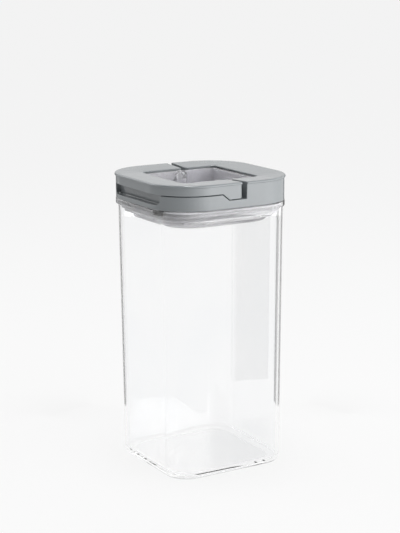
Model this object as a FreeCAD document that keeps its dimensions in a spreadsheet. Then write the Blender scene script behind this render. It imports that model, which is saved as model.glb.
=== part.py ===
"""Lidded square canister with a flip-up locking lid, in millimetres.

+Z is up and the origin is the bottom centre of the container's base.  The
grip of the handle faces -Y, and its two ears lie on the +X and -X sides.
The handle turns on two cranks, one in each side of the collar in the lid.
The eccentric pin of each crank sits in a tower of the clear plunger, so
lifting the grip by a quarter turn lowers the plunger and frees the gasket.
"""
import FreeCAD, Part
import math
import os
import re
import Sketcher

Vector = FreeCAD.Vector
Rotation = FreeCAD.Rotation

doc = FreeCAD.newDocument("canister")
sizes = doc.addObject("Spreadsheet::Sheet", "Sizes")

DRIVING = {
    # container: a drafted square jar with a flange round its mouth
    "jar_foot_side": 95.6, "jar_foot_corner": 18.5,
    "jar_top_side": 99.0, "jar_top_corner": 19.6,
    "jar_wall": 2.2, "jar_floor": 3.2,
    "jar_fillet": 3.0, "floor_fillet": 2.4,
    "foot_recess": 0.6, "foot_recess_side": 78.0, "foot_recess_corner": 14.0,
    "rim_side": 108.6, "rim_corner": 33.3, "rim_top": 197.5, "rim_thick": 4.0,
    "rim_fillet": 0.9,
    # lid: the grey band, the deck at the top and its overhanging lip
    "lid_side": 108.0, "lid_corner": 33.0, "lid_wall": 2.2,
    "lid_bottom": 197.8, "lid_top": 216.0, "deck_thick": 2.6,
    "lip_over": 0.8, "lip_thick": 1.8, "lip_fillet": 1.0,
    "opening_side": 63.6, "opening_corner": 4.5, "opening_fillet": 0.5,
    "dish_margin": 2.2, "dish_depth": 1.1, "edge_fillet": 0.4,
    "seam_fillet": 0.35, "deck_end_fillet": 3.0,
    # handle: the front half of the deck, with a skirt and an ear on each side
    "skirt_bottom": 208.5, "ear_bottom": 204.2, "ear_end": 2.6,
    "ear_flat_start": -7.2, "ear_slope_start": -12.5, "ear_fillet": 1.2,
    "handle_gap": 0.5, "slope_gap": 0.2, "slot_wall": 7.0,
    "rib_inside": 34.3, "rib_thick": 3.0, "rib_start": -6.0,
    "inner_skirt_thick": 1.6, "boss_radius": 3.0,
    # channel under the handle, and the finger scoop below its grip
    "channel_thick": 1.8,
    "scoop_half": 33.0, "scoop_floor": 201.0, "scoop_depth": 5.5,
    "scoop_corner": 4.5, "scoop_wall": 1.6, "scoop_bottom": 199.5,
    # lid base: closing plate, collar with the bearings, spigot in the mouth
    "collar_wall": 1.8, "collar_top": 213.0, "collar_play": 0.1,
    "bearing_notch": 206.8, "bearing_boss": 2.9,
    "plate_side": 103.2, "plate_corner": 30.6, "plate_top": 199.4,
    "spigot_side": 92.6, "spigot_corner": 16.6, "spigot_wall": 3.0,
    "spigot_bottom": 195.3,
    # pivot of the handle and the two cranks
    "pivot_height": 210.2, "shank_radius": 1.6, "shank_end": 50.0,
    "bearing_play": 0.05, "socket_play": 0.02, "disc_radius": 3.3,
    "disc_inside": 30.5, "disc_thick": 1.0, "pin_radius": 0.9,
    "pin_inside": 25.6, "pin_offset": 1.49, "pin_reach": 2.11,
    "pin_play": 0.15,
    # clear plunger: a deep cup in a wider neck, with a flange and two towers
    "neck_side": 82.0, "neck_corner": 22.0, "cup_wall": 1.8,
    "cup_side": 60.2, "cup_corner": 4.2, "rim_height": 213.6,
    "cup_bottom": 183.6, "cup_floor": 2.0, "neck_top": 195.0,
    "neck_fillet": 1.4,
    "flange_side": 90.0, "flange_corner": 19.0, "flange_bottom": 187.6,
    "flange_top": 189.4,
    "tower_inside": 25.4, "tower_thick": 4.7, "tower_half": 4.6,
    "tower_top": 214.1,
    # gasket: a silicone ring with two ribs, round the neck of the cup
    "gasket_side": 92.2, "gasket_corner": 16.4, "gasket_hole": 82.5,
    "gasket_hole_corner": 22.2, "gasket_bottom": 189.6,
    "gasket_top": 195.0, "rib_side": 93.8, "rib_corner": 17.2,
    "rib_width": 1.0, "lower_rib": 190.4, "upper_rib": 193.2,
    "gasket_fillet": 0.4,
}

for row, (alias, value) in enumerate(DRIVING.items(), start=1):
    sizes.set(f"A{row}", alias)
    sizes.set(f"B{row}", str(value))
    sizes.setAlias(f"B{row}", alias)
doc.recompute()

WHOLE = 260.0     # longer than the object, for cuts that go right through


def cells(text):
    """Turn an expression of bare alias names into one that reads the sheet."""
    return re.sub(r"\b([a-z][a-z_0-9]*)\b", r"Sizes.\1", str(text))


def number(text):
    """Work out an expression of alias names now."""
    return float(sizes.evalExpression(cells(text)))


def new_body(label):
    body = doc.addObject("PartDesign::Body", label)
    body.Label = label
    return body


def origin_feature(body, role):
    return next(f for f in body.Origin.OriginFeatures if f.Role == role)


def new_sketch(body, name, plane, offset):
    """A sketch on one of the body's own origin planes, moved along its normal."""
    sketch = body.newObject("Sketcher::SketchObject", name)
    sketch.AttachmentSupport = [(origin_feature(body, plane), "")]
    sketch.MapMode = "FlatFace"
    sketch.setExpression("AttachmentOffset.Base.z", cells(offset))
    return sketch


def datum(sketch, name, constraint, text):
    """Add a constraint with a name and bind its value to the sheet."""
    index = sketch.addConstraint(constraint)
    sketch.renameConstraint(index, name)
    sketch.setExpression(f"Constraints.{name}", cells(text))


def add_rounded(sketch, tag, width, depth, corner, centre="0"):
    """Draw a rectangle with four equal round corners, centred on local x = 0."""
    half_w, half_d = number(width) / 2, number(depth) / 2
    radius, mid = number(corner), number(centre)
    quarter = math.pi / 2
    low, high = mid - half_d, mid + half_d
    corners = [(half_w - radius, low + radius, -1), (half_w - radius, high - radius, 0),
               (radius - half_w, high - radius, 1), (radius - half_w, low + radius, 2)]
    ends = [((radius - half_w, low), (half_w - radius, low)),
            ((half_w, low + radius), (half_w, high - radius)),
            ((half_w - radius, high), (radius - half_w, high)),
            ((-half_w, high - radius), (-half_w, low + radius))]
    lines, arcs = [], []
    for start, end in ends:
        segment = Part.LineSegment(Vector(*start, 0), Vector(*end, 0))
        lines.append(sketch.addGeometry(segment))
    for x, y, turn in corners:
        circle = Part.Circle(Vector(x, y, 0), Vector(0, 0, 1), radius)
        arc = Part.ArcOfCircle(circle, turn * quarter, (turn + 1) * quarter)
        arcs.append(sketch.addGeometry(arc))
    for i in range(4):
        sketch.addConstraint(Sketcher.Constraint("Tangent", lines[i], 2, arcs[i], 1))
        following = lines[(i + 1) % 4]
        sketch.addConstraint(Sketcher.Constraint("Tangent", arcs[i], 2, following, 1))
    sketch.addConstraint(Sketcher.Constraint("Vertical", lines[1]))
    sketch.addConstraint(Sketcher.Constraint("Horizontal", lines[2]))
    sketch.addConstraint(Sketcher.Constraint("Vertical", lines[3]))
    for arc in arcs[1:]:
        sketch.addConstraint(Sketcher.Constraint("Equal", arcs[0], arc))
    sketch.addConstraint(Sketcher.Constraint("Symmetric", lines[0], 1, lines[0], 2, -2))
    datum(sketch, f"{tag}corner", Sketcher.Constraint("Radius", arcs[0], radius), corner)
    datum(sketch, f"{tag}width",
          Sketcher.Constraint("DistanceX", lines[3], 1, lines[1], 1, 2 * half_w), width)
    datum(sketch, f"{tag}depth",
          Sketcher.Constraint("DistanceY", lines[0], 1, lines[2], 1, 2 * half_d), depth)
    datum(sketch, f"{tag}low",
          Sketcher.Constraint("DistanceY", -1, 1, lines[0], 1, low),
          f"{centre} - ({depth}) / 2")


def rounded(body, name, side, corner, height):
    """A sketch with one rounded square at a height."""
    sketch = new_sketch(body, name, "XY_Plane", height)
    add_rounded(sketch, "", side, side, corner)
    return sketch


def rounded_ring(body, name, outer, outer_corner, inner, inner_corner, height):
    """A sketch with two rounded squares, one inside the other."""
    sketch = new_sketch(body, name, "XY_Plane", height)
    add_rounded(sketch, "outer_", outer, outer, outer_corner)
    add_rounded(sketch, "inner_", inner, inner, inner_corner)
    return sketch


def add_outline(sketch, tag, points):
    """Draw a closed outline of straight edges; each point is an (x, y) pair."""
    places = [Vector(number(x), number(y), 0) for x, y in points]
    count = len(places)
    edges = [sketch.addGeometry(Part.LineSegment(places[i], places[(i + 1) % count]))
             for i in range(count)]
    for i in range(count):
        following = edges[(i + 1) % count]
        sketch.addConstraint(Sketcher.Constraint("Coincident", edges[i], 2, following, 1))
    for i, (x, y) in enumerate(points):
        across = Sketcher.Constraint("DistanceX", -1, 1, edges[i], 1, places[i].x)
        up = Sketcher.Constraint("DistanceY", -1, 1, edges[i], 1, places[i].y)
        datum(sketch, f"{tag}across_{i}", across, x)
        datum(sketch, f"{tag}up_{i}", up, y)


def side_profile(body, name, points, offset="0"):
    """An outline in the YZ plane, given as (y, z) pairs, at a distance along X."""
    sketch = new_sketch(body, name, "YZ_Plane", offset)
    add_outline(sketch, "", points)
    return sketch


def add_circle(sketch, tag, x, y, radius):
    """Draw a circle whose centre and radius are bound to the sheet."""
    centre = Vector(number(x), number(y), 0)
    circle = Part.Circle(centre, Vector(0, 0, 1), number(radius))
    index = sketch.addGeometry(circle)
    across = Sketcher.Constraint("DistanceX", -1, 1, index, 3, centre.x)
    up = Sketcher.Constraint("DistanceY", -1, 1, index, 3, centre.y)
    datum(sketch, f"{tag}across", across, x)
    datum(sketch, f"{tag}up", up, y)
    size = Sketcher.Constraint("Radius", index, number(radius))
    datum(sketch, f"{tag}radius", size, radius)


def pad(body, name, sketch, length):
    feature = body.newObject("PartDesign::Pad", name)
    feature.Profile = sketch
    feature.setExpression("Length", cells(length))
    return feature


def pocket(body, name, sketch, length, upwards=True):
    """Cut a sketch away; upwards means along the normal of its plane."""
    feature = body.newObject("PartDesign::Pocket", name)
    feature.Profile = sketch
    feature.Reversed = upwards
    feature.setExpression("Length", cells(length))
    return feature


def cut_across(body, name, sketch):
    """Cut a side profile away over the whole width, to both sides of X = 0."""
    feature = body.newObject("PartDesign::Pocket", name)
    feature.Profile = sketch
    feature.SideType = "Symmetric"
    feature.Length = WHOLE
    return feature


def mirror(body, name, originals):
    """Repeat features on the other side of the YZ plane."""
    feature = body.newObject("PartDesign::Mirrored", name)
    feature.Originals = originals
    feature.MirrorPlane = (origin_feature(body, "YZ_Plane"), [""])
    body.Tip = feature
    return feature


def fillet(body, name, base, radius, wanted):
    """Round the edges of base for which wanted(edge) holds."""
    doc.recompute()
    names = [f"Edge{i}" for i, edge in enumerate(base.Shape.Edges, start=1) if wanted(edge)]
    if not names:
        raise RuntimeError(f"{name}: no edge to round")
    feature = body.newObject("PartDesign::Fillet", name)
    feature.Base = (base, names)
    feature.setExpression("Radius", cells(radius))
    doc.recompute()
    if not feature.Shape.isValid():
        raise RuntimeError(f"{name}: the fillet failed")
    return feature


def level(edge, *heights):
    """True for an edge that lies flat at one of the heights."""
    box = edge.BoundBox
    return any(abs(box.ZMin - h) < 1e-3 and abs(box.ZMax - h) < 1e-3 for h in heights)


def on_square(edge, side, corner, slack=0.05):
    """True for an edge whose middle lies on a rounded square round the Z axis."""
    middle = edge.valueAt((edge.FirstParameter + edge.LastParameter) / 2)
    core = number(side) / 2 - number(corner)
    across, along = abs(middle.x) - core, abs(middle.y) - core
    outside = math.hypot(max(across, 0), max(along, 0))
    return abs(outside + min(max(across, along), 0) - number(corner)) < slack


def make_container():
    """Clear jar: drafted walls, rounded foot, and a flange round the mouth."""
    body = new_body("container")
    foot = rounded(body, "foot_outline", "jar_foot_side", "jar_foot_corner", "0")
    shoulder = rounded(body, "shoulder_outline", "jar_top_side", "jar_top_corner",
                       "rim_top - rim_thick")
    wall = body.newObject("PartDesign::AdditiveLoft", "outer_wall")
    wall.Profile = foot
    wall.Sections = [shoulder]
    wall.Ruled = True
    rim = rounded(body, "rim_outline", "rim_side", "rim_corner", "rim_top - rim_thick")
    pad(body, "rim_flange", rim, "rim_thick")
    low_side, low_corner = "jar_foot_side - 2 * jar_wall", "jar_foot_corner - jar_wall"
    low = rounded(body, "floor_outline", low_side, low_corner, "jar_floor")
    mouth = rounded(body, "mouth_outline", "jar_top_side - 2 * jar_wall",
                    "jar_top_corner - jar_wall", "rim_top")
    hollow = body.newObject("PartDesign::SubtractiveLoft", "inside")
    hollow.Profile = low
    hollow.Sections = [mouth]
    hollow.Ruled = True
    recess = rounded(body, "recess_outline", "foot_recess_side", "foot_recess_corner", "0")
    last = pocket(body, "foot_recess_cut", recess, "foot_recess")
    floor_height = number("jar_floor")
    rim_heights = number("rim_top"), number("rim_top - rim_thick")
    last = fillet(body, "foot_rounding", last, "jar_fillet",
                  lambda e: level(e, 0) and on_square(e, "jar_foot_side", "jar_foot_corner"))
    last = fillet(body, "floor_rounding", last, "floor_fillet",
                  lambda e: level(e, floor_height) and on_square(e, low_side, low_corner))
    fillet(body, "rim_rounding", last, "rim_fillet",
           lambda e: level(e, *rim_heights) and on_square(e, "rim_side", "rim_corner"))
    return body


def make_lid_frame():
    """Grey band, the rear half of the deck, and the channel under the handle."""
    body = new_body("lid_frame")
    inner_side, inner_corner = "(lid_side - 2 * lid_wall)", "(lid_corner - lid_wall)"
    channel_top = "skirt_bottom - handle_gap"
    pocket_floor = "ear_bottom - handle_gap"
    scoop_back = "scoop_depth + scoop_wall - lid_side / 2"
    under_deck = "lid_top - deck_thick"
    slot_back = "slot_wall + channel_thick"
    slope_start, slope_end = "ear_slope_start - slope_gap", "ear_flat_start - slope_gap"
    core = rounded(body, "core_outline", f"{inner_side} + lid_wall",
                   f"{inner_corner} + lid_wall / 2", "scoop_bottom")
    pad(body, "core", core, "lid_top - scoop_bottom")
    hollow = side_profile(body, "hollow_outline", [
        (scoop_back, "0"), ("lid_side", "0"), ("lid_side", under_deck),
        (slot_back, under_deck), (slot_back, f"{pocket_floor} - channel_thick"),
        (f"{slope_end} - channel_thick / 2", f"{pocket_floor} - channel_thick"),
        (f"{slope_start} - channel_thick / 2", f"{channel_top} - channel_thick"),
        (scoop_back, f"{channel_top} - channel_thick")])
    cut_across(body, "hollow", hollow)
    band = rounded_ring(body, "band_outline", "lid_side", "lid_corner",
                        inner_side, inner_corner, "lid_bottom")
    pad(body, "band", band, "lid_top - lid_bottom")
    lip_side, lip_corner = "(lid_side + 2 * lip_over)", "(lid_corner + lip_over)"
    lip = rounded_ring(body, "lip_outline", lip_side, lip_corner,
                       inner_side, inner_corner, "lid_top - lip_thick")
    pad(body, "lip", lip, "lip_thick")
    seat = rounded(body, "collar_seat_outline",
                   "opening_side + 2 * collar_wall + 2 * collar_play",
                   "opening_corner + collar_wall + collar_play", "0")
    pocket(body, "collar_seat", seat, "collar_top + collar_play")
    open_deck(body, lip_side, lip_corner)
    space = side_profile(body, "handle_space_outline", [
        ("slot_wall", pocket_floor), ("slot_wall", "2 * lid_top"),
        ("0 - lid_side", "2 * lid_top"), ("0 - lid_side", channel_top),
        (slope_start, channel_top), (slope_end, pocket_floor)])
    last = cut_across(body, "handle_space", space)
    slot_wall, opening_half = number("slot_wall"), number("opening_side / 2")
    last = fillet(body, "deck_end_rounding", last, "deck_end_fillet",
                  lambda e: upright_at(e, opening_half, slot_wall))
    last = round_deck(body, last, lip_side, lip_corner)
    bottom = number("lid_bottom")
    fillet(body, "band_rounding", last, "edge_fillet",
           lambda e: level(e, bottom) and on_square(e, "lid_side", "lid_corner"))
    scoop = new_sketch(body, "scoop_outline", "XZ_Plane", "lid_side / 2 - scoop_depth")
    add_rounded(scoop, "", "2 * scoop_half", "lid_corner", "scoop_corner",
                "scoop_floor + lid_corner / 2")
    last = pocket(body, "finger_scoop", scoop, "2 * scoop_depth")
    fillet(body, "seam_rounding", last, "seam_fillet",
           on_seam)
    return body


def upright_at(edge, x, y):
    """True for an upright edge that stands at (x, y) or (-x, y)."""
    box = edge.BoundBox
    return (abs(abs(box.Center.x) - x) < 0.01 and abs(box.Center.y - y) < 0.01
            and box.XLength < 0.01 and box.YLength < 0.01)


def on_seam(edge):
    """True for an edge of the lid's outer face that isn't where flat meets round."""
    box = edge.BoundBox
    core = number("lid_side / 2 - lid_corner")
    upright = box.XLength < 0.01 and box.YLength < 0.01
    tangent = upright and min(abs(abs(box.Center.x) - core), abs(abs(box.Center.y) - core)) < 0.01
    inside = number("lid_bottom") + 1 < box.Center.z < number("lid_top - lip_thick") - 1
    return inside and not tangent and on_square(edge, "lid_side", "lid_corner")


def open_deck(body, lip_side, lip_corner):
    """Cut the opening out of the deck and dish the deck down to it."""
    opening = rounded(body, "opening_outline", "opening_side", "opening_corner", "0")
    pocket(body, "opening", opening, "lid_top + 1")
    rim = rounded(body, "dish_outline", f"{lip_side} - 2 * dish_margin",
                  f"{lip_corner} - dish_margin", "lid_top")
    base = rounded(body, "dish_floor_outline", "opening_side", "opening_corner",
                   "lid_top - dish_depth")
    dish = body.newObject("PartDesign::SubtractiveLoft", "dish")
    dish.Profile = rim
    dish.Sections = [base]
    dish.Ruled = True
    return dish


def round_deck(body, base, lip_side, lip_corner):
    """Round the lip of the deck and the edge of its opening."""
    top = number("lid_top")
    under, edge_height = top - number("lip_thick"), top - number("dish_depth")
    last = fillet(body, "lip_rounding", base, "lip_fillet",
                  lambda e: level(e, top) and on_square(e, lip_side, lip_corner))
    last = fillet(body, "lip_under_rounding", last, "edge_fillet",
                  lambda e: level(e, under) and on_square(e, lip_side, lip_corner))
    return fillet(body, "opening_rounding", last, "opening_fillet",
                  lambda e: level(e, edge_height) and on_square(e, "opening_side", "opening_corner"))


def make_handle():
    """Front half of the deck: a U with a skirt, and an ear on each side."""
    body = new_body("handle")
    inner_side, inner_corner = "(lid_side - 2 * lid_wall)", "(lid_corner - lid_wall)"
    lip_side, lip_corner = "(lid_side + 2 * lip_over)", "(lid_corner + lip_over)"
    under_deck = "lid_top - deck_thick"
    blank = rounded(body, "blank_outline", "lid_side", "lid_corner", "ear_bottom")
    pad(body, "blank", blank, "lid_top - ear_bottom")
    lip = rounded(body, "lip_outline", lip_side, lip_corner, "lid_top - lip_thick")
    pad(body, "lip", lip, "lip_thick")
    inside = rounded(body, "inside_outline", inner_side, inner_corner, "0")
    pocket(body, "inside", inside, under_deck)
    dish = open_deck(body, lip_side, lip_corner)
    round_deck(body, dish, lip_side, lip_corner)
    skirt = rounded_ring(body, "inner_skirt_outline", "2 * rib_inside + 2 * inner_skirt_thick",
                         "opening_corner + collar_wall + inner_skirt_thick",
                         "2 * rib_inside", "opening_corner + collar_wall", "skirt_bottom")
    pad(body, "inner_skirt", skirt, f"{under_deck} - skirt_bottom")
    rib = side_profile(body, "rib_outline", [
        ("rib_start", "ear_bottom"), ("ear_end", "ear_bottom"),
        ("ear_end", under_deck), ("rib_start", under_deck)], "rib_inside")
    ribs = [pad(body, "rib", rib, "rib_thick")]
    boss = new_sketch(body, "boss_outline", "YZ_Plane", "rib_inside")
    add_circle(boss, "", "0", "pivot_height", "boss_radius")
    ribs.append(pad(body, "boss", boss, "lid_side / 2 - lid_wall / 2 - rib_inside"))
    mirror(body, "other_side_ribs", ribs)
    rest = side_profile(body, "outside_the_u", [
        ("0 - lid_side", "skirt_bottom"), ("ear_slope_start", "skirt_bottom"),
        ("ear_flat_start", "ear_bottom"), ("ear_end", "ear_bottom"),
        ("ear_end", "2 * lid_top"), ("lid_side", "2 * lid_top"),
        ("lid_side", "0"), ("0 - lid_side", "0")])
    last = cut_across(body, "cut_to_a_u", rest)
    low, high = number("ear_bottom"), number("lid_top")
    back = number("ear_end")
    last = fillet(body, "ear_rounding", last, "ear_fillet",
                  lambda e: level(e, low) and abs(e.BoundBox.YMin - back) < 1e-3
                  and abs(e.BoundBox.YMax - back) < 1e-3)
    fillet(body, "seam_rounding", last, "seam_fillet", on_seam)
    socket = new_sketch(body, "socket_outline", "YZ_Plane", "0")
    add_circle(socket, "", "0", "pivot_height", "shank_radius + socket_play")
    sockets = body.newObject("PartDesign::Pocket", "sockets")
    sockets.Profile = socket
    sockets.SideType = "Symmetric"
    sockets.setExpression("Length", cells("2 * shank_end + 2 * collar_play"))
    return body


def make_lid_base():
    """Closes the lid from below: plate, collar with a bearing in each side, spigot."""
    body = new_body("lid_base")
    plate = rounded(body, "plate_outline", "plate_side", "plate_corner", "lid_bottom")
    pad(body, "plate", plate, "plate_top - lid_bottom")
    collar = rounded(body, "collar_outline", "opening_side + 2 * collar_wall",
                     "opening_corner + collar_wall", "lid_bottom")
    pad(body, "collar", collar, "collar_top - lid_bottom")
    opening = rounded(body, "opening_outline", "opening_side", "opening_corner", "0")
    pocket(body, "opening", opening, "lid_top")
    spigot = rounded_ring(body, "spigot_outline", "spigot_side", "spigot_corner",
                          "spigot_side - 2 * spigot_wall", "spigot_corner - spigot_wall",
                          "spigot_bottom")
    pad(body, "spigot", spigot, "plate_top - spigot_bottom")
    notch = side_profile(body, "notch_outline", [
        ("0", "bearing_notch"), ("slot_wall", "bearing_notch"),
        ("slot_wall", "lid_top"), ("0", "lid_top")])
    cut_across(body, "notch", notch)
    bearing = new_sketch(body, "bearing_outline", "YZ_Plane", "opening_side / 2")
    add_circle(bearing, "", "0", "pivot_height", "bearing_boss")
    boss = pad(body, "bearing_boss_pad", bearing, "collar_wall")
    mirror(body, "other_bearing_boss", [boss])
    bore = new_sketch(body, "bore_outline", "YZ_Plane", "0")
    add_circle(bore, "", "0", "pivot_height", "shank_radius + bearing_play")
    cut_across(body, "bearing_bores", bore)
    return body


def make_plunger():
    """Clear plunger: a deep cup inside a neck, with a flange and a tower for each crank."""
    body = new_body("plunger")
    neck = rounded(body, "neck_outline", "neck_side", "neck_corner", "cup_bottom")
    last = pad(body, "neck", neck, "neck_top - cup_bottom")
    bottom = number("cup_bottom")
    fillet(body, "neck_rounding", last, "neck_fillet", lambda e: level(e, bottom))
    inside = rounded(body, "inside_outline", "neck_side - 2 * cup_wall",
                     "neck_corner - cup_wall", "cup_bottom + cup_floor")
    pocket(body, "inside", inside, "neck_top")
    flange = rounded_ring(body, "flange_outline", "flange_side", "flange_corner",
                          "neck_side - cup_wall", "neck_corner - cup_wall / 2", "flange_bottom")
    pad(body, "flange", flange, "flange_top - flange_bottom")
    cup = rounded_ring(body, "cup_outline", "cup_side", "cup_corner",
                       "cup_side - 2 * cup_wall", "cup_corner - cup_wall",
                       "cup_bottom + cup_floor / 2")
    last = pad(body, "cup", cup, "rim_height - cup_bottom - cup_floor / 2")
    top = number("rim_height")
    fillet(body, "rim_rounding", last, "edge_fillet", lambda e: level(e, top))
    column = side_profile(body, "tower_outline", [
        ("0 - tower_half", "cup_bottom + cup_floor / 2"),
        ("tower_half", "cup_bottom + cup_floor / 2"),
        ("tower_half", "tower_top - tower_half"),
        ("0 - tower_half", "tower_top - tower_half")], "tower_inside")
    tower = [pad(body, "tower", column, "tower_thick")]
    head = new_sketch(body, "tower_head_outline", "YZ_Plane", "tower_inside")
    add_circle(head, "", "0", "tower_top - tower_half", "tower_half")
    tower.append(pad(body, "tower_head", head, "tower_thick"))
    mirror(body, "other_tower", tower)
    slot = new_sketch(body, "slot_outline", "YZ_Plane", "0")
    add_rounded(slot, "", "pin_reach - pin_offset + 2 * pin_radius + 2 * pin_play",
                "2 * pin_radius + 2 * pin_play + 0.01", "pin_radius + pin_play",
                "pivot_height + pin_offset")
    slot.setExpression("AttachmentOffset.Base.x", cells("(pin_reach + pin_offset) / 2"))
    cut_across(body, "pin_slots", slot)
    return body


def make_gasket():
    """Silicone ring round the neck of the cup, with two sealing ribs."""
    body = new_body("gasket")
    ring = rounded_ring(body, "ring_outline", "gasket_side", "gasket_corner",
                        "gasket_hole", "gasket_hole_corner", "gasket_bottom")
    pad(body, "ring", ring, "gasket_top - gasket_bottom")
    for name in ("lower_rib", "upper_rib"):
        rib = rounded_ring(body, f"{name}_outline", "rib_side", "rib_corner",
                           "gasket_side - rib_width", "gasket_corner - rib_width / 2", name)
        last = pad(body, f"{name}_ring", rib, "rib_width")
    rib_edges = [number(f"{name} + {step}") for name in ("lower_rib", "upper_rib")
                 for step in ("0", "rib_width")]
    fillet(body, "rib_rounding", last, "gasket_fillet",
           lambda e: level(e, *rib_edges) and on_square(e, "rib_side", "rib_corner"))
    return body


def make_crank(label, side):
    """Crank: shank in the handle, disc, and eccentric pin; side is 1 or -1."""
    along_x = Rotation(Vector(0, 1, 0), side * 90)
    pieces = []
    for name, radius, start, end, out in (
            ("shank", "shank_radius", "disc_inside", "shank_end", "0"),
            ("disc", "disc_radius", "disc_inside", "disc_inside + disc_thick", "0"),
            ("pin", "pin_radius", "pin_inside", "disc_inside + disc_thick / 2", "pin_offset")):
        piece = doc.addObject("Part::Cylinder", f"{label}_{name}")
        piece.Placement = FreeCAD.Placement(Vector(0, 0, 0), along_x)
        piece.setExpression("Radius", cells(radius))
        piece.setExpression("Height", cells(f"{end} - ({start})"))
        piece.setExpression("Placement.Base.x", cells(f"{side} * ({start})"))
        piece.setExpression("Placement.Base.y", cells(out))
        piece.setExpression("Placement.Base.z", cells(f"pivot_height + {out}"))
        pieces.append(piece)
    crank = doc.addObject("Part::MultiFuse", label)
    crank.Shapes = pieces
    crank.Refine = True
    return crank


SUB_PARTS = [make_container(), make_lid_frame(), make_lid_base(), make_handle(),
             make_crank("crank_left", -1), make_crank("crank_right", 1),
             make_plunger(), make_gasket()]
doc.recompute()

for item in doc.Objects:
    if "Invalid" in item.State or "Error" in item.State:
        raise RuntimeError(f"{item.Name} did not compute: {item.State}")
for item in SUB_PARTS:
    if item.Shape.isNull() or not item.Shape.isValid() or len(item.Shape.Solids) != 1:
        raise RuntimeError(f"{item.Label} is not one valid solid")

os.makedirs("parts", exist_ok=True)
for item in SUB_PARTS:
    item.Shape.exportStep(f"parts/{item.Label}.step")
    box = item.Shape.optimalBoundingBox(False)
    print(f"{item.Label:16s} {item.Shape.Volume / 1000:8.2f} cm3"
          f"  X {box.XMin:7.2f} {box.XMax:7.2f}  Y {box.YMin:7.2f} {box.YMax:7.2f}"
          f"  Z {box.ZMin:7.2f} {box.ZMax:7.2f}")
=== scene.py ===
import bpy
from math import cos, exp, pi, radians, sin
from mathutils import Matrix


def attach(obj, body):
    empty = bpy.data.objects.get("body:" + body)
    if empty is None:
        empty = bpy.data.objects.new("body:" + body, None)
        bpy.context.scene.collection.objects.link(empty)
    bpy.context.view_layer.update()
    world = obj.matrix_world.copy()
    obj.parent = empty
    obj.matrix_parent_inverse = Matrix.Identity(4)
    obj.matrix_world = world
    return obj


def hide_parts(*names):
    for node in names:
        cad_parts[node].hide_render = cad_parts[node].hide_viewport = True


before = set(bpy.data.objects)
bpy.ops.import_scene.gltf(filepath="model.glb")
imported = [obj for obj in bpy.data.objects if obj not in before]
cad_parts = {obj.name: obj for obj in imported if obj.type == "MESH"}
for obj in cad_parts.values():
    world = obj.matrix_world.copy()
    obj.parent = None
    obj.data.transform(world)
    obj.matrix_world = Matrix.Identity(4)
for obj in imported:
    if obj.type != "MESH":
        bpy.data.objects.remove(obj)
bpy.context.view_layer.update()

mm = 0.001


# ---- container: the clear square jar that everything else sits on.
# Pressed in one piece, with drafted walls, a foot ring round a shallow
# recess, and a wide flange round the mouth that carries the lid.
def start_piece(name):
    """Begin a mesh with nothing in it, at the origin, and stay in edit mode."""
    bpy.ops.object.select_all(action="DESELECT")
    bpy.ops.mesh.primitive_plane_add(size=mm, location=(0, 0, 0))
    piece = bpy.context.object
    piece.name = name
    piece.data.name = name
    bpy.ops.object.mode_set(mode="EDIT")
    bpy.ops.mesh.select_mode(type="VERT")
    bpy.ops.mesh.delete(type="VERT")
    return piece


loop_spread = 10 * mm     # loops are drawn this far apart, so that they bridge in order


def draw_square_loops(sections, corner_steps):
    """Draw one loop of edges per section: side, corner radius and height in mm."""
    for order, (side, corner, height) in enumerate(sections):
        bpy.ops.mesh.primitive_plane_add(size=side * mm, location=(0, 0, order * loop_spread))
        bpy.ops.mesh.bevel(offset=corner * mm, segments=corner_steps, affect="VERTICES")
        bpy.ops.object.vertex_group_assign_new()
        bpy.ops.mesh.delete(type="ONLY_FACE")


def pick_loops(piece, *loops):
    """Select just these loops, by the order in which they were drawn."""
    bpy.ops.mesh.select_all(action="DESELECT")
    for loop in loops:
        piece.vertex_groups.active_index = loop
        bpy.ops.object.vertex_group_select()


def bridge_loops(piece, pairs):
    for first, second in pairs:
        pick_loops(piece, first, second)
        bpy.ops.mesh.bridge_edge_loops()


def lift_loops(piece, sections):
    """Move every loop from where it was drawn to its own height."""
    for order, (side, corner, height) in enumerate(sections):
        pick_loops(piece, order)
        bpy.ops.transform.translate(value=(0, 0, height * mm - order * loop_spread))


def fill_loop(piece, loop):
    """Close a loop with a face that has a smaller face inside it."""
    rim_width = 4 * mm
    pick_loops(piece, loop)
    bpy.ops.mesh.edge_face_add()
    bpy.ops.mesh.inset(thickness=rim_width)


def mark_loop(piece, loop, radius):
    """Say how much the edge that a loop makes will be rounded."""
    pick_loops(piece, loop)
    bpy.ops.transform.edge_bevelweight(value=radius / widest_rounding)


def round_marked_edges(piece, steps):
    rounding = piece.modifiers.new("roundings", "BEVEL")
    rounding.width = widest_rounding * mm
    rounding.segments = steps
    rounding.limit_method = "WEIGHT"
    bpy.ops.object.modifier_apply(modifier="roundings")


def close_up(piece, rounding_steps, smooth_angle):
    """Face the mesh outwards, leave edit mode, round the marked edges and shade it."""
    bpy.ops.mesh.select_all(action="SELECT")
    bpy.ops.mesh.normals_make_consistent(inside=False)
    bpy.ops.object.mode_set(mode="OBJECT")
    piece.vertex_groups.clear()
    round_marked_edges(piece, rounding_steps)
    bpy.ops.object.shade_smooth_by_angle(angle=radians(smooth_angle))
    settle_shading(piece)


def settle_shading(piece):
    """Let the large faces rule the shading, so that flat stays flat."""
    piece.modifiers.new("weighted normals", "WEIGHTED_NORMAL").keep_sharp = True
    bpy.ops.object.modifier_apply(modifier="weighted normals")


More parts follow.
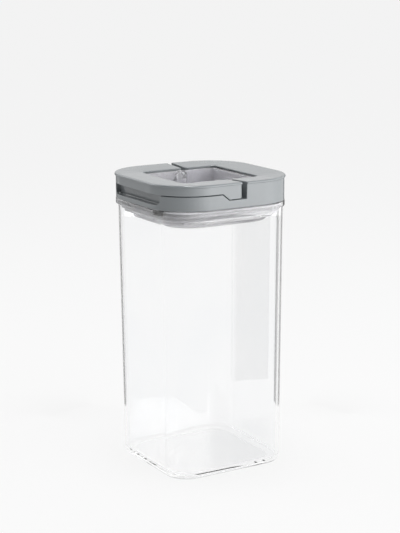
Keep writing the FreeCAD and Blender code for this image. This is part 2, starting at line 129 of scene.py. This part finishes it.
recess_side, recess_corner, recess_depth = 78.0, 14.0, 0.6
foot_side, foot_corner, floor_thick = 95.6, 18.5, 3.2
neck_side, neck_corner, wall = 99.0, 19.6, 2.2
flange_side, flange_corner, flange_bottom, flange_top = 108.6, 33.3, 193.5, 197.5
jar_sections = [
    (recess_side, recess_corner, recess_depth), (recess_side, recess_corner, 0),
    (foot_side, foot_corner, 0), (neck_side, neck_corner, flange_bottom),
    (flange_side, flange_corner, flange_bottom), (flange_side, flange_corner, flange_top),
    (neck_side - 2 * wall, neck_corner - wall, flange_top),
    (foot_side - 2 * wall, foot_corner - wall, floor_thick)]
widest_rounding = 3.0
jar_roundings = {1: 0.25, 2: widest_rounding, 3: 0.6, 4: 0.9, 5: 0.9, 6: 0.5, 7: 2.4}
jar = start_piece("jar")
draw_square_loops(jar_sections, corner_steps=16)
bridge_loops(jar, [(loop, loop + 1) for loop in range(len(jar_sections) - 1)])
lift_loops(jar, jar_sections)
for loop, radius in jar_roundings.items():
    mark_loop(jar, loop, radius)
fill_loop(jar, 0)
fill_loop(jar, len(jar_sections) - 1)
close_up(jar, rounding_steps=6, smooth_angle=40)


def new_material(name):
    """A node material with its shader, its nodes, its links and object coordinates."""
    material = bpy.data.materials.new(name)
    material.use_nodes = True
    nodes, links = material.node_tree.nodes, material.node_tree.links
    place = nodes.new("ShaderNodeTexCoord").outputs["Object"]
    return material, nodes["Principled BSDF"], nodes, links, place


def noise(nodes, links, place, scale, detail=2.0, stretch=(1, 1, 1)):
    """A noise pattern in object space; scale is in cells per metre."""
    mapping = nodes.new("ShaderNodeMapping")
    mapping.inputs["Scale"].default_value = stretch
    links.new(place, mapping.inputs["Vector"])
    pattern = nodes.new("ShaderNodeTexNoise")
    pattern.inputs["Scale"].default_value = scale
    pattern.inputs["Detail"].default_value = detail
    links.new(mapping.outputs["Vector"], pattern.inputs["Vector"])
    return pattern.outputs["Fac"]


def remap(nodes, links, value, low, high, to_low, to_high):
    """Stretch a value between two limits."""
    remapped = nodes.new("ShaderNodeMapRange")
    for socket, number in (("From Min", low), ("From Max", high),
                           ("To Min", to_low), ("To Max", to_high)):
        remapped.inputs[socket].default_value = number
    links.new(value, remapped.inputs["Value"])
    return remapped.outputs["Result"]


def two_tones(nodes, links, value, dark, light):
    """A colour that goes from dark to light as the value goes from 0 to 1."""
    mix = nodes.new("ShaderNodeMix")
    mix.data_type = "RGBA"
    mix.inputs["A"].default_value = (*dark, 1)
    mix.inputs["B"].default_value = (*light, 1)
    links.new(value, mix.inputs["Factor"])
    return mix.outputs["Result"]


def bump(nodes, links, height, strength, distance):
    """A bump that stands up to a distance in metres off the surface."""
    node = nodes.new("ShaderNodeBump")
    node.inputs["Strength"].default_value = strength
    node.inputs["Distance"].default_value = distance
    links.new(height, node.inputs["Height"])
    return node.outputs["Normal"]


def clear_material(name, clarity, tone, waviness, haze):
    """Clear and polished, with slow waves from the mould and a trace of handling."""
    material, shader, nodes, links, place = new_material(name)
    shader.inputs["Transmission Weight"].default_value = clarity
    shader.inputs["IOR"].default_value = 1.49
    cloud = noise(nodes, links, place, scale=14)
    tint = remap(nodes, links, cloud, 0.3, 0.7, 0, 1)
    links.new(two_tones(nodes, links, tint, tone, (1.0, 1.0, 1.0)), shader.inputs["Base Color"])
    smear = noise(nodes, links, place, scale=60, detail=5.0, stretch=(1, 1, 0.25))
    links.new(remap(nodes, links, smear, 0.45, 0.75, 0.0, haze), shader.inputs["Roughness"])
    waves = noise(nodes, links, place, scale=18, detail=1.0, stretch=(1, 1, 0.35))
    links.new(bump(nodes, links, waves, waviness, 1 * mm), shader.inputs["Normal"])
    return material


jar.data.materials.append(clear_material(
    "clear_jar", clarity=1.0, tone=(0.975, 0.98, 0.985), waviness=0.06, haze=0.03))
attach(jar, "jar")
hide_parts("container")


# ---- lid_base: the pale grey underside of the lid, which closes the band.
# A plate with a square collar that holds both crank bearings, and a spigot
# that drops into the jar's mouth and keeps the lid square on it.
def finished_copy(node, name, edge_round=0.0):
    """The node's own shape as one welded mesh, with its sharp edges eased by so many mm."""
    weld_distance, flat_angle, sharp_angle, smooth_angle = 0.002 * mm, 0.2, 50, 32
    bpy.ops.object.select_all(action="DESELECT")
    piece = bpy.data.objects.new(name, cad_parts[node].data.copy())
    piece.data.name = name
    piece.data.materials.clear()
    bpy.context.scene.collection.objects.link(piece)
    bpy.context.view_layer.objects.active = piece
    piece.select_set(True)
    bpy.ops.object.mode_set(mode="EDIT")
    bpy.ops.mesh.select_all(action="SELECT")
    bpy.ops.mesh.remove_doubles(threshold=weld_distance)
    bpy.ops.mesh.dissolve_limited(angle_limit=radians(flat_angle))
    bpy.ops.object.mode_set(mode="OBJECT")
    if edge_round:
        rounding = piece.modifiers.new("eased edges", "BEVEL")
        rounding.width = edge_round * mm
        rounding.segments = 2
        rounding.limit_method = "ANGLE"
        rounding.angle_limit = radians(sharp_angle)
        bpy.ops.object.modifier_apply(modifier="eased edges")
    bpy.ops.object.shade_smooth_by_angle(angle=radians(smooth_angle))
    settle_shading(piece)
    return piece


def moulded_grey(name, dark, light, gloss):
    """Grey ABS: faint flow marks, a fine grain, and gloss that varies a little."""
    material, shader, nodes, links, place = new_material(name)
    shader.inputs["IOR"].default_value = 1.52
    flow = noise(nodes, links, place, scale=22, detail=4.0, stretch=(1, 1, 2.5))
    fleck = noise(nodes, links, place, scale=2600)
    fleck_share = 0.3
    blend = nodes.new("ShaderNodeMath")
    blend.operation = "MULTIPLY_ADD"
    blend.inputs[1].default_value = fleck_share
    links.new(remap(nodes, links, fleck, 0.35, 0.65, -0.5, 0.5), blend.inputs[0])
    links.new(remap(nodes, links, flow, 0.3, 0.7, 0.1, 0.9), blend.inputs[2])
    links.new(two_tones(nodes, links, blend.outputs["Value"], dark, light),
              shader.inputs["Base Color"])
    scuff = noise(nodes, links, place, scale=140, detail=6.0)
    links.new(remap(nodes, links, scuff, 0.35, 0.7, gloss, gloss + 0.04),
              shader.inputs["Roughness"])
    skin = noise(nodes, links, place, scale=1500)
    links.new(bump(nodes, links, skin, 0.1, 0.01 * mm), shader.inputs["Normal"])
    return material


moulded_edge = 0.15
lid_base = finished_copy("lid_base", "lid_underside", moulded_edge)
lid_base.data.materials.append(moulded_grey(
    "base_grey", dark=(0.78, 0.775, 0.81), light=(0.84, 0.835, 0.87), gloss=0.3))
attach(lid_base, "lid")
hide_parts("lid_base")


# ---- plunger: the clear cup in the middle of the lid, seen through its deck.
# One clear moulding: a deep square cup, a wider neck with a flange under the
# gasket, and a slotted tower on each side for the crank pin.
plunger = finished_copy("plunger", "clear_plunger", moulded_edge)
plunger.data.materials.append(clear_material(
    "clear_plunger", clarity=0.78, tone=(0.90, 0.895, 0.93), waviness=0.03, haze=0.05))
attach(plunger, "plunger")
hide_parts("plunger")


# ---- gasket: the soft silicone ring that seals the jar.
# Moulded flat with two round ribs, and stretched over the plunger's neck
# above the flange.
bore, groove, rib = (82.5, 22.2), (92.0, 16.3), (93.8, 17.2)
rib_root, top_edge = (92.2, 16.4), (91.4, 16.0)
gasket_bottom, gasket_top, gasket_edge = 189.6, 195.0, 0.22
gasket_sections = [
    (*bore, gasket_bottom), (*groove, gasket_bottom),
    (*rib_root, 190.2), (*rib, 190.5), (*rib, 191.2), (*groove, 191.8),
    (*groove, 193.0), (*rib, 193.3), (*rib, 194.0), (*groove, 194.6),
    (*top_edge, gasket_top), (*bore, gasket_top)]
gasket = start_piece("silicone_gasket")
draw_square_loops(gasket_sections, corner_steps=14)
last_loop = len(gasket_sections) - 1
bridge_loops(gasket, [(loop, loop + 1) for loop in range(last_loop)] + [(last_loop, 0)])
lift_loops(gasket, gasket_sections)
for loop in range(last_loop + 1):
    mark_loop(gasket, loop, gasket_edge)
close_up(gasket, rounding_steps=3, smooth_angle=60)
material, shader, nodes, links, place = new_material("silicone")
shader.inputs["IOR"].default_value = 1.41
shader.inputs["Subsurface Weight"].default_value = 0.35
shader.inputs["Subsurface Radius"].default_value = (2 * mm, 2 * mm, 2 * mm)
shader.inputs["Subsurface Scale"].default_value = 1.0
cloud = noise(nodes, links, place, scale=45, detail=4.0)
links.new(two_tones(nodes, links, remap(nodes, links, cloud, 0.3, 0.7, 0, 1),
                    (0.46, 0.46, 0.48), (0.55, 0.55, 0.57)), shader.inputs["Base Color"])
dust = noise(nodes, links, place, scale=400, detail=4.0)
links.new(remap(nodes, links, dust, 0.35, 0.7, 0.38, 0.55), shader.inputs["Roughness"])
links.new(bump(nodes, links, dust, 0.1, 0.05 * mm), shader.inputs["Normal"])
gasket.data.materials.append(material)
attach(gasket, "plunger")
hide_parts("gasket")


# ---- lid_frame: the grey band of the lid with the rear half of its deck.
# One moulding with a lip round the top, a channel that the handle drops
# into, and a scoop at the front for a fingertip.
band = finished_copy("lid_frame", "lid_band")
band.data.materials.append(moulded_grey(
    "band_grey", dark=(0.165, 0.18, 0.188), light=(0.185, 0.2, 0.208), gloss=0.12))
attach(band, "lid")
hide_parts("lid_frame")


# ---- handle: the front half of the deck, which flips up round its two ears.
# Moulded from the same grey as the band, in a shot of its own.
handle = finished_copy("handle", "flip_handle")
handle.data.materials.append(moulded_grey(
    "handle_grey", dark=(0.17, 0.185, 0.193), light=(0.19, 0.205, 0.213), gloss=0.11))
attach(handle, "handle")
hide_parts("handle")


# ---- cranks: one hinge pin with an eccentric end in each side of the lid.
# Turned from natural acetal and pressed into the handle's ears.
material, shader, nodes, links, place = new_material("natural_acetal")
shader.inputs["IOR"].default_value = 1.48
shader.inputs["Subsurface Weight"].default_value = 0.2
shader.inputs["Subsurface Radius"].default_value = (1 * mm, 1 * mm, 1 * mm)
turning = noise(nodes, links, place, scale=1200, detail=3.0, stretch=(6, 1, 1))
links.new(two_tones(nodes, links, remap(nodes, links, turning, 0.3, 0.7, 0, 1),
                    (0.64, 0.65, 0.66), (0.76, 0.77, 0.78)), shader.inputs["Base Color"])
links.new(remap(nodes, links, turning, 0.3, 0.7, 0.28, 0.4), shader.inputs["Roughness"])
links.new(bump(nodes, links, turning, 0.15, 0.02 * mm), shader.inputs["Normal"])
turned_edge = 0.12
for side in ("left", "right"):
    crank = finished_copy("crank_" + side, "hinge_pin_" + side, turned_edge)
    crank.data.materials.append(material)
    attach(crank, "handle")
    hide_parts("crank_" + side)


# ---- studio: a pale paper floor that glows a little, soft light on the right,
# on the left and overhead, and a long lens at the right front corner, a little
# above the lid.
floor_size = 160
bpy.ops.object.select_all(action="DESELECT")
bpy.ops.mesh.primitive_plane_add(size=floor_size, location=(0, 0, 0))
floor = bpy.context.object
floor.name = "floor"
material, shader, nodes, links, place = new_material("pale_paper")
shader.inputs["Roughness"].default_value = 1.0
shader.inputs["Specular IOR Level"].default_value = 0.0
shader.inputs["Base Color"].default_value = (0.06, 0.06, 0.06, 1)
shader.inputs["Emission Color"].default_value = (1, 1, 1, 1)
shader.inputs["Emission Strength"].default_value = 0.875
floor.data.materials.append(material)

camera_azimuth, camera_pitch, camera_roll = radians(59.6), radians(12.56), radians(-0.36)
camera_distance, camera_height = 1.0171, 0.3721
camera_data = bpy.data.cameras.new("camera")
camera_data.lens = 94.79
camera_data.sensor_width = 36
camera = bpy.data.objects.new("camera", camera_data)
bpy.context.scene.collection.objects.link(camera)
stand = Matrix.Translation((sin(camera_azimuth) * camera_distance,
                            -cos(camera_azimuth) * camera_distance, camera_height))
turn = (Matrix.Rotation(camera_azimuth, 4, "Z") @ Matrix.Rotation(pi / 2 - camera_pitch, 4, "X")
        @ Matrix.Rotation(camera_roll, 4, "Z"))
camera.matrix_world = stand @ turn
bpy.context.scene.camera = camera
bpy.context.scene.view_settings.view_transform = "Standard"

# the room is dark behind the camera and bright beyond the object
world = bpy.data.worlds.new("studio")
world.use_nodes = True
nodes, links = world.node_tree.nodes, world.node_tree.links
away = nodes.new("ShaderNodeVectorMath")
away.operation = "DOT_PRODUCT"
away.inputs[1].default_value = (-sin(camera_azimuth), cos(camera_azimuth), 0)
links.new(nodes.new("ShaderNodeTexCoord").outputs["Generated"], away.inputs[0])
backlight = remap(nodes, links, away.outputs["Value"], -0.5, 0.9, 0.0, 1.0)
links.new(two_tones(nodes, links, backlight, (0.05, 0.05, 0.05), (0.8, 0.8, 0.8)),
          nodes["Background"].inputs["Color"])
bpy.context.scene.world = world


def soft_panel(name, width, tall, radiance):
    """A soft light of an even brightness that the camera can't see."""
    data = bpy.data.lights.new(name, "AREA")
    data.shape = "RECTANGLE"
    data.size, data.size_y = width, tall
    data.energy = radiance * pi * width * tall
    lamp = bpy.data.objects.new(name, data)
    bpy.context.scene.collection.objects.link(lamp)
    lamp.visible_camera = False
    return lamp


def stand_upright(thing, azimuth, distance, middle_height):
    """Stand something on a circle round the object, facing it."""
    azimuth = radians(azimuth)
    spot = Matrix.Translation((distance * sin(azimuth), -distance * cos(azimuth), middle_height))
    thing.matrix_world = spot @ Matrix.Rotation(azimuth, 4, "Z") @ Matrix.Rotation(pi / 2, 4, "X")


# a curved wall of light on the right, a metre away and brightest in the middle
panel_distance, panel_height = 1.0, 0.9
wall_middle, wall_spread, wall_radiance, wall_step = 122, 42, 4.2, 12
for azimuth in range(30, 211, wall_step):
    fade = exp(-((azimuth - wall_middle) / wall_spread) ** 2)
    wall_panel = soft_panel(f"wall_panel_{azimuth}", radians(wall_step), panel_height,
                            wall_radiance * fade)
    stand_upright(wall_panel, azimuth, panel_distance, panel_height / 2)

# a lifted panel on the left, which leaves the scoop in shade, and one overhead
left_azimuth, left_width, left_radiance, left_middle = -50, 1.0, 2.4, 0.9
left_panel = soft_panel("left_panel", left_width, panel_height, left_radiance)
stand_upright(left_panel, left_azimuth, panel_distance, left_middle)
overhead_side, overhead_radiance, overhead_height = 0.35, 24.0, 1.3
overhead = soft_panel("overhead_panel", overhead_side, overhead_side, overhead_radiance)
overhead.matrix_world = Matrix.Translation((0, 0, overhead_height))

# two narrow grey cards behind the jar, out of the camera's sight, so that its
# clear upright edges show as thin grey lines
material, shader, nodes, links, place = new_material("grey_card")
shader.inputs["Base Color"].default_value = (0.3, 0.3, 0.3, 1)
shader.inputs["Roughness"].default_value = 1.0
card_distance, card_width, card_height = 0.15, 0.045, 0.24
for name, azimuth in (("right_card", 194), ("left_card", 286)):
    bpy.ops.mesh.primitive_plane_add(size=1)
    card = bpy.context.object
    card.name = name
    card.data.transform(Matrix.Diagonal((card_width, card_height, 1, 1)))
    card.data.materials.append(material)
    card.visible_camera = False
    stand_upright(card, azimuth, card_distance, card_height / 2)

# light runs a long way inside thick clear walls
clear_bounces, mirror_bounces = 24, 16
bpy.context.scene.cycles.max_bounces = clear_bounces
bpy.context.scene.cycles.transmission_bounces = clear_bounces
bpy.context.scene.cycles.glossy_bounces = mirror_bounces
